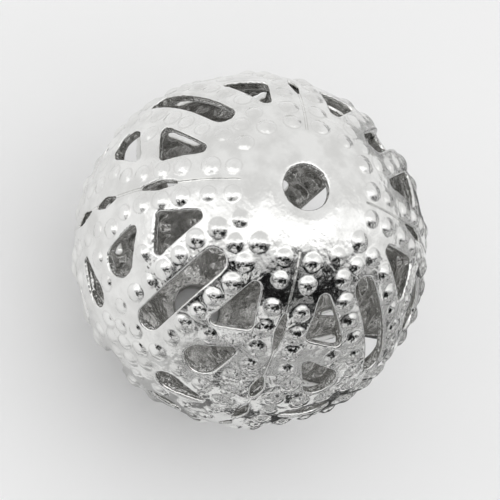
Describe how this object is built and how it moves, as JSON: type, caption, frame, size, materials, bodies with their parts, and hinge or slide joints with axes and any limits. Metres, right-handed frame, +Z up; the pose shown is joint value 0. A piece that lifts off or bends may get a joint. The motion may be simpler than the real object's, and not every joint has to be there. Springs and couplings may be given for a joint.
{
  "type": "filigree bead",
  "caption": "Hollow round filigree bead of pierced, silver-plated brass sheet with rows of raised dots, and a thread hole through both poles.",
  "frame": {"origin": "centre of the lower tab's flat face, on the axis of the thread hole, so the bead stands on z = 0", "axes": "+Z up along the thread hole, -Y through the long slots down the middle of the front gore, +X to the right of it"},
  "size_m": [0.0102, 0.0102, 0.0098],
  "materials": {
    "silver_plate": "bright silver plate over brass, pressed with fine raised dots, worn"
  },
  "bodies": {
    "root": {"shell": "silver_plate"}
  },
  "joints": []
}
